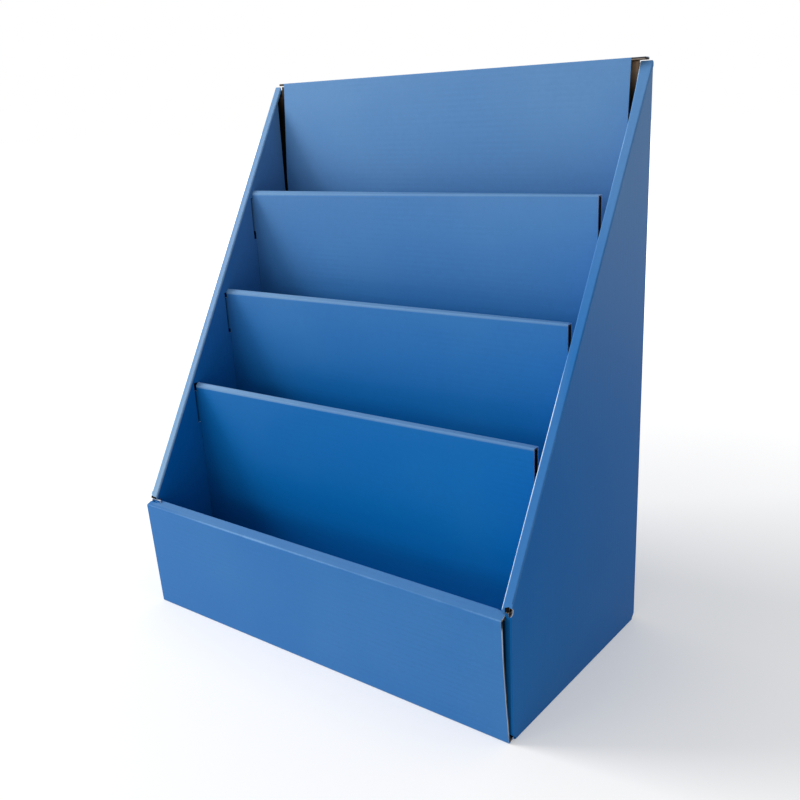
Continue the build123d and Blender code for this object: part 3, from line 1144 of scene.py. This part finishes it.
    def liners(self) -> list[Liner]:
        """All flat stretches of the printed liner."""
        half = self.width / 2
        slant = self.slant_run()
        lean = Vector((0, self.crease_y - self.foot_y, self.crease_z))
        web = Vector((0, self.front_back_y - self.crease_y, self.front_z - self.crease_z))
        stretches = [
            Liner((0, self.foot_y, 0), (0, -lean.z, lean.y)),
            Liner((0, self.crease_y, self.crease_z), (0, -web.z, web.y)),
            Liner((0, self.front_back_y, 0), BACKWARD),
            Liner((0, self.side_front_y, self.side_front_z), (0, -slant.z, slant.y)),
            Liner((0, self.side_front_y, 0), FORWARD),
            Liner((0, self.side_rear_y, 0), BACKWARD),
            Liner((0, self.back_front_y, 0), FORWARD),
            Liner((0, self.back_y, 0), BACKWARD),
            Liner((0, 0, self.height), UP),
            Liner((0, 0, 0), DOWN),
        ]
        for side in (-1, 1):
            stretches.append(Liner((side * half, 0, 0), (side, 0, 0)))
            stretches.append(Liner((side * (half - self.side_wall), 0, 0), (-side, 0, 0)))
        return stretches

    def surface(self, centre: Vector, normal: Vector) -> Surface:
        """What a face of the shell is, from its centre in millimetres and its normal."""
        kinds = (stretch.faces(centre, normal) for stretch in self.liners())
        return next((kind for kind in kinds if kind is not Surface.CUT), Surface.CUT)

    def on_bar(self, place: Vector) -> bool:
        """Whether a point is on the front edge of the back's web, beside the front ply.

        Args:
            place: The point, in millimetres.

        Returns:
            Whether it is there.
        """
        beyond_ply = not self.back_ply[0] + HAIR < place.x < self.back_ply[1] - HAIR
        in_front = self.back_front_y - SLACK < place.y < self.back_front_y + self.fold_radius + HAIR
        return beyond_ply and in_front and self.height - BOARD - HAIR < place.z < self.height + HAIR

    def on_foot_end(self, place: Vector) -> bool:
        """Whether a point is on the raw end of a side web's foot.

        Args:
            place: The point, in millimetres.

        Returns:
            Whether it is there.
        """
        beside = abs(place.x) > self.width / 2 - self.side_wall - SLACK
        behind, below, above = self.foot_zone
        in_front = SLACK < place.y - self.side_front_y < behind
        return beside and in_front and self.flap_shoulder_z - below < place.z < self.side_front_z + above

    def raw_edge(self, centre: Vector, normal: Vector) -> Optional[Surface]:
        """What a face is, if it is the front edge of the back's web or the end of a side web's foot, which is
        darkened with painted shade.

        Args:
            centre: The face's centre, in millimetres.
            normal: The face's normal.

        Returns:
            The kind of surface, or None for any other face.
        """
        if self.on_bar(centre) and normal.y < -HAIR:
            return Surface.CUT
        # Painted shade: these ends take the kraft finish, which is painted near black this low down.
        dark_end = self.on_foot_end(centre) and normal.y < -0.95 and not 0 < centre.x < self.foot_dark_x
        return Surface.KRAFT if dark_end else None

    def depth_share(self, vert: BMVert) -> float:
        """How far through the board a corner of a cut edge lies.

        Args:
            vert: The corner.

        Returns:
            The share of the depth, from 0 on the printed side to 1 on the kraft side.
        """
        place = vert.co / MM
        if self.on_bar(place):
            return between(self.bar_share, limited((self.height - place.z) / BOARD))
        from_relief = math.hypot(place.y - self.relief_y, place.z - self.relief_z)
        inward = (self.width / 2 - abs(place.x)) / BOARD
        if inward < 1 + SLACK and abs(from_relief - self.relief_radius) < self.relief_rim:
            return between(self.relief_share, limited(inward))
        on_flap = abs(place.x) > self.width / 4 and place.y < self.side_front_y + BOARD + HAIR
        if on_flap and abs(place.z - self.flap_shoulder_z) < HAIR:
            return self.shoulder_share[place.x > 0]
        return super().depth_share(vert)

    def painted_light_at(self, place: Vector) -> float:
        """How strong the painted sheen is on the front panel, and the painted highlights on the webs.

        Args:
            place: The point, in millimetres.

        Returns:
            The share, up to 1, or how dark the painted shade is on the front flaps, down to -1.
        """
        # Painted sheen on the front panel, painted highlights on the webs and painted shade on the front
        # flaps.
        behind, above = self.web_margin
        on_front = place.y < self.front_back_y + behind and abs(place.x) < self.panel_end_x - SLACK
        if on_front and self.crease_z - SLACK < place.z < self.front_z + above:
            return between(self.light_front_web, place.x / self.width + 0.5)
        if place.y < self.side_front_y - behind:
            return self.light_front
        if abs(place.y - self.side_front_y) < HAIR and place.z < self.flap_shoulder_z + SLACK:
            return self.dark_flap[abs(place.x) > self.panel_end_x + SLACK]
        slant = self.slant_run()
        from_edge = place - Vector((0, self.side_front_y, self.side_front_z))
        under_edge = from_edge.dot(Vector((0, slant.z, -slant.y)))
        in_side = abs(place.x) > self.width / 2 - self.side_wall - self.flare - SLACK
        if not in_side or under_edge > self.fold_radius + SLACK:
            return 0.0
        share = (place.z - self.side_front_z) / (self.side_rear_z - self.side_front_z)
        if place.x < 0:
            return max(self.light_left[0] * (1 - share), self.light_left[1])
        return self.light_right * limited((self.light_right_end[0] - share) / self.light_right_end[1])

    def flute_run(self, centre: Vector) -> Vector:
        """Upright flutes in the side walls and their flaps, level ones along the front elsewhere.

        Args:
            centre: The place, in millimetres.

        Returns:
            The direction of the flutes.
        """
        in_sides = abs(centre.x) > self.width / 2 - self.side_wall - SLACK and centre.z > BOARD + SLACK
        in_flaps = (
            self.side_front_y - SLACK < centre.y < self.side_front_y + BOARD + SLACK
            or self.side_rear_y - BOARD - SLACK < centre.y < self.side_rear_y + SLACK
        )
        between_walls = self.side_front_y - SLACK <= centre.y <= self.side_rear_y + SLACK
        return Vector(UP) if (in_sides or in_flaps) and between_walls else Vector(SIDEWAYS)

    def creases(self) -> list[Crease]:
        """Folds of the front wall, the base, the back wall and the side walls."""
        half = self.width / 2
        web = Vector((0, self.front_back_y - self.crease_y, self.front_z - self.crease_z))
        panel = Vector((0, self.crease_y - self.foot_y, self.crease_z))
        upper, inner, lower = self.crease_ends
        whole, top = (-half, half), (self.crease_y, self.crease_z)
        back, back_front = (self.back_y, self.height), (self.back_front_y, self.height)
        folds = [
            Crease.level(upper, top, (web, -panel), wear=0.54, along=self.front_along),
            Crease.level(inner, (self.front_back_y, self.front_z), (-web, DOWN), wear=0.3),
            Crease.level(lower, (self.foot_y, 0), (panel, BACKWARD), wear=0.6),
            Crease.level(whole, (self.back_y, 0), (UP, FORWARD), wear=0.6),
            Crease.level(whole, back, (FORWARD, DOWN), wear=0.6),
            Crease.level(whole, back_front, (BACKWARD, DOWN), wear=0.3, reach=1.4),
        ]
        return folds + self.side_creases(-1, self.left_wear) + self.side_creases(1, self.right_wear)

    def side_creases(self, side: int, worn: SideWear) -> list[Crease]:
        """Folds of one side wall.

        Args:
            side: 1 for the right side wall, -1 for the left.
            worn: How they are worn.

        Returns:
            The folds along the slanted edge, at the front and rear corners and along the base.
        """
        outer_x = side * self.width / 2
        inner_x = outer_x - side * self.side_wall
        inwards, outwards = (-side, 0, 0), (side, 0, 0)
        slant = self.slant_run()
        fall = (0, slant.z, -slant.y)
        front_end, rear_end = (self.side_front_y, self.side_front_z), (self.side_rear_y, self.side_rear_z)
        bow_start = (inner_x, self.flare_y, self.slant_height(self.flare_y))
        bow_end = (inner_x - max(side, 0) * self.flare, *rear_end)
        inner = {"panels": (outwards, fall), "wear": worn.inner, "reach": 1.5}
        foot_z, (base_front, base_rear) = self.corner_crease_z, self.base_crease
        return [
            Crease(
                (outer_x, *front_end),
                (outer_x, *rear_end),
                (inwards, fall),
                wear=worn.outer,
                reach=worn.outer_reach,
                along=self.outer_along,
            ),
            Crease((inner_x, *front_end), bow_start, along=worn.inner_along, **inner),
            Crease(bow_start, bow_end, along=worn.bow_along, **inner),
            Crease((outer_x, front_end[0], foot_z), (outer_x, *front_end), (BACKWARD, inwards), worn.front),
            Crease((outer_x, rear_end[0], foot_z), (outer_x, *rear_end), (FORWARD, inwards), wear=0.5),
            Crease((outer_x, base_front, 0), (outer_x, base_rear, 0), (UP, inwards), wear=0.6),
        ]


@dataclass
class SteppedInsert(BoardSheet):
    """The stepped insert: four floors, three upright lips and two legs in one folded sheet.

    Attributes:
        left_x: Left end, in millimetres.
        right_x: Right end.
        front_y: Front face of the front leg.
        rear_y: Rear face of the rear leg.
        seat_z: Height at which the legs stand.
        first_floor_z: Height of the first floor.
        lip_places: Front faces of the lips.
        lip_tops: Heights of the lips at their rear creases.
        lip_depth: How far the floor behind a lip lies below its top.
        lip_thickness: Thickness of the lips, pinched at their left ends and open at their right.
        pinched_drop: How much lower the front crease is at the left end.
        lip_wear: Wear of the lips' front and rear creases.
        leg_wear: Wear of the folds above the legs.
        light_web: How strong the painted highlight is on the lips' webs at their left and right ends.
        shade_left: How dark the painted shade is at the lips' left ends, where the side wall shades them.
        near_print: Distance from a liner up to which a face is part of it.
        web_margin: How far past a lip's faces and below its creases its web's painted highlight reaches.
    """

    left_x: float = -143.7
    right_x: float = 137.0
    front_y: float = -74.3
    rear_y: float = 75.3
    seat_z: float = 1.8
    first_floor_z: float = 47.0
    lip_places: tuple[float, float, float] = (-31.4, 6.1, 40.6)
    lip_tops: tuple[float, float, float] = (156.346, 217.841, 284.752)
    lip_depth: float = 31.0
    lip_thickness: Pair = (3.2, 5.0)
    pinched_drop: float = 3.3
    lip_wear: Pair = (0.18, 0.2)
    leg_wear: float = 0.4
    light_web: Pair = (0.6, 0.45)
    shade_left: float = -0.16
    near_print: float = 0.25
    web_margin: Pair = (0.2, 1.2)

    def share(self, place: Vector) -> float:
        """Share of the insert's length at which a point lies, from its left end."""
        return (place.x - self.left_x) / (self.right_x - self.left_x)

    def section(self, share: float) -> list[Pair]:
        """Corners of the printed face seen from the end.

        Args:
            share: Place along the insert, from 0 at its left end to 1 at its right.

        Returns:
            The corners' places from front to back and heights, in millimetres.
        """
        thickness = between(self.lip_thickness, share)
        drop = self.pinched_drop * (1 - share)
        corners = [(self.front_y, self.seat_z), (self.front_y, self.first_floor_z)]
        floor = self.first_floor_z
        for place, top in zip(self.lip_places, self.lip_tops):
            corners += [(place, floor), (place, top - drop), (place + thickness, top)]
            floor = top - self.lip_depth
            corners.append((place + thickness, floor))
        return corners + [(self.rear_y, floor), (self.rear_y, self.seat_z)]

    def above_print(self, place: Vector) -> float:
        """Distance of a point from the printed face.

        Args:
            place: The point, in millimetres.

        Returns:
            The distance, in millimetres.
        """
        corners = [Vector(corner) for corner in self.section(limited(self.share(place)))]
        spot = Vector((place.y, place.z))
        distances = []
        for start, end in zip(corners, corners[1:]):
            run = end - start
            along = limited((spot - start).dot(run) / run.length_squared)
            distances.append((spot - start - run * along).length)
        return min(distances)

    def surface(self, centre: Vector, normal: Vector) -> Surface:
        """What a face of the insert is.

        Args:
            centre: The face's centre, in millimetres.
            normal: The face's normal.

        Returns:
            The kind of surface.
        """
        end = abs(normal.x) > FACING
        sole = centre.z < self.seat_z + HAIR and normal.z < -FACING
        hook_edge = centre.x < self.left_x - HAIR and abs(normal.z) > FACING
        if end or sole or hook_edge:
            return Surface.CUT
        distance = self.above_print(centre)
        if distance < self.near_print:
            return Surface.PRINTED
        return Surface.KRAFT if abs(distance - BOARD) < self.near_print else Surface.CUT

    def depth_share(self, vert: BMVert) -> float:
        """How far through the board a corner of a cut edge lies, from the printed side."""
        return min(self.above_print(vert.co / MM) / BOARD, 1.0)

    def painted_light_at(self, place: Vector) -> float:
        """How strong the painted highlight is on the lips' webs.

        Args:
            place: The point, in millimetres.

        Returns:
            The share, up to 1, or how dark the painted shade is towards the left wall, down to -1.
        """
        share = self.share(place)
        thickness = between(self.lip_thickness, share)
        past, below = self.web_margin
        # Painted highlights on the lips' webs.
        for front_y, top in zip(self.lip_places, self.lip_tops):
            under_crease = top - self.pinched_drop * (1 - share) - place.z
            if front_y - past < place.y < front_y + thickness + past and under_crease < below:
                return between(self.light_web, share)
        # Painted shade at the lips' left ends, towards the side wall.
        return self.shade_left * (1 - share)

    def flute_run(self, centre: Vector) -> Vector:
        """Flutes that run from end to end."""
        return Vector(SIDEWAYS)

    def creases(self) -> list[Crease]:
        """Both creases of each lip, and the folds above the legs."""
        left, right = self.section(0), self.section(1)
        places = []
        for lip in range(len(self.lip_places)):
            places.append((3 + 4 * lip, BACKWARD, self.lip_wear[0], 2.0))
            places.append((4 + 4 * lip, FORWARD, self.lip_wear[1], 2.0))
        places += [(1, BACKWARD, self.leg_wear, Crease.reach), (-2, FORWARD, self.leg_wear, Crease.reach)]
        return [
            Crease((self.left_x, *left[corner]), (self.right_x, *right[corner]), (into, DOWN), wear, reach)
            for corner, into, wear, reach in places
        ]


# Studio and camera


def add_object(name: str, data: bpy.types.ID) -> bpy.types.Object:
    """Put a new object into the scene.

    Args:
        name: The object's name.
        data: Its mesh, lamp or camera.

    Returns:
        The object.
    """
    holder = bpy.data.objects.new(name, data)
    bpy.context.scene.collection.objects.link(holder)
    return holder


@dataclass
class Softbox:
    """A rectangular area lamp that looks at a point.

    Attributes:
        name: The lamp's name.
        place: Where it stands, in metres.
        target: What it looks at, in metres.
        size: Its width and height, in metres.
        power: Its power, in watts.
        colour: Its colour.
    """

    name: str
    place: Point
    target: Point
    size: Pair
    power: float
    colour: Colour = (1.0, 0.975, 0.95)

    def build(self) -> None:
        """Hang the lamp in the scene."""
        lamp = bpy.data.lights.new(self.name, "AREA")
        lamp.shape = "RECTANGLE"
        lamp.size, lamp.size_y = self.size
        lamp.energy = self.power
        lamp.color = self.colour
        holder = add_object(self.name, lamp)
        holder.location = self.place
        holder.rotation_mode = "QUATERNION"
        holder.rotation_quaternion = (Vector(self.target) - Vector(self.place)).to_track_quat("-Z", "Y")


@dataclass
class Studio:
    """The plain pale floor, the soft lamps and the white surroundings.

    Attributes:
        floor_reach: How far the floor reaches to each side, in metres.
        ambient: Strength of the light from all around.
        ambient_colour: Its colour.
        softboxes: The lamps.
    """

    floor_reach: float = 40.0
    ambient: float = 0.6
    ambient_colour: Colour = (0.97, 0.985, 1.0)
    softboxes: list[Softbox] = field(
        default_factory=lambda: [
            Softbox("window_light", (-2.034, -0.822, 1.173), (0.0, 0.0, 0.2), (1.08, 1.08), 48.3),
            Softbox("wide_light", (-1.386, -1.943, 0.551), (0.0, 0.0, 0.3), (1.72, 0.6), 13.5),
        ]
    )

    def build(self) -> None:
        """Lay the floor, hang the lamps and set the surroundings."""
        mesh = bmesh.new()
        bmesh.ops.create_grid(mesh, x_segments=1, y_segments=1, size=self.floor_reach)
        data = bpy.data.meshes.new("studio_floor")
        mesh.to_mesh(data)
        mesh.free()
        data.materials.append(StudioFloor().build())
        floor = add_object("studio_floor", data)
        for softbox in self.softboxes:
            softbox.build()
        self.surround()
        LOG.info("studio: floor, %d lamps", len(self.softboxes))

    def surround(self) -> None:
        """White surroundings for the eye and for gloss, and a softer level as light."""
        world = bpy.data.worlds.new("surroundings")
        bpy.context.scene.world = world
        shader = Shader(world)
        light = {"Color": self.ambient_colour, "Strength": self.ambient}
        soft = shader.node("ShaderNodeBackground", {}, light)
        white = shader.node("ShaderNodeBackground", {}, {"Color": WHITE, "Strength": 1.0})
        both = {0: shader.background_ray(), 1: soft, 2: white}
        shader.finish(shader.node("ShaderNodeMixShader", {}, both))


@dataclass
class ViewCamera:
    """The camera at the photograph's place and angle.

    Attributes:
        place: Where it stands, in metres.
        azimuth: Turn of its view from straight ahead to the left, in degrees.
        elevation: Downward tilt of its view, in degrees.
        roll: Turn about its own axis, in degrees.
        lens: Focal length for a sensor 36 mm wide, in millimetres.
        shift: Sideways and upward shift, in parts of the image's width.
    """

    place: Point = (0.37413, -0.434118, 0.32728)
    azimuth: float = 36.593
    elevation: float = 18.724
    roll: float = -2.210
    lens: float = 40.886
    shift: Pair = (-0.0522, 0.0358)

    def build(self) -> None:
        """Set up the camera."""
        turn, tilt = math.radians(self.azimuth), math.radians(self.elevation)
        look = Vector((-math.sin(turn) * math.cos(tilt), math.cos(turn) * math.cos(tilt), -math.sin(tilt)))
        camera = bpy.data.cameras.new("photo_camera")
        camera.sensor_width = 36.0
        camera.lens = self.lens
        camera.shift_x, camera.shift_y = self.shift
        camera.clip_start = 0.01
        camera.clip_end = 200.0
        holder = add_object("photo_camera", camera)
        holder.location = self.place
        holder.rotation_mode = "QUATERNION"
        roll = Quaternion(UP, math.radians(self.roll))
        holder.rotation_quaternion = look.to_track_quat("-Z", "Y") @ roll
        bpy.context.scene.camera = holder


def main() -> None:
    """Build the stand, the studio and the camera."""
    logging.basicConfig(level=logging.INFO, format="%(message)s")
    bpy.context.scene.view_settings.view_transform = "Standard"
    finishes = (PrintedLiner(), KraftLiner(), CutEdge())
    sheets = [
        DisplayShell("display_shell", "shell_board", finishes),
        SteppedInsert("stepped_insert", "insert_board", finishes),
    ]
    for sheet in sheets:
        sheet.build()
    Studio().build()
    ViewCamera().build()
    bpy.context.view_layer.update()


if __name__ == "__main__":
    main()
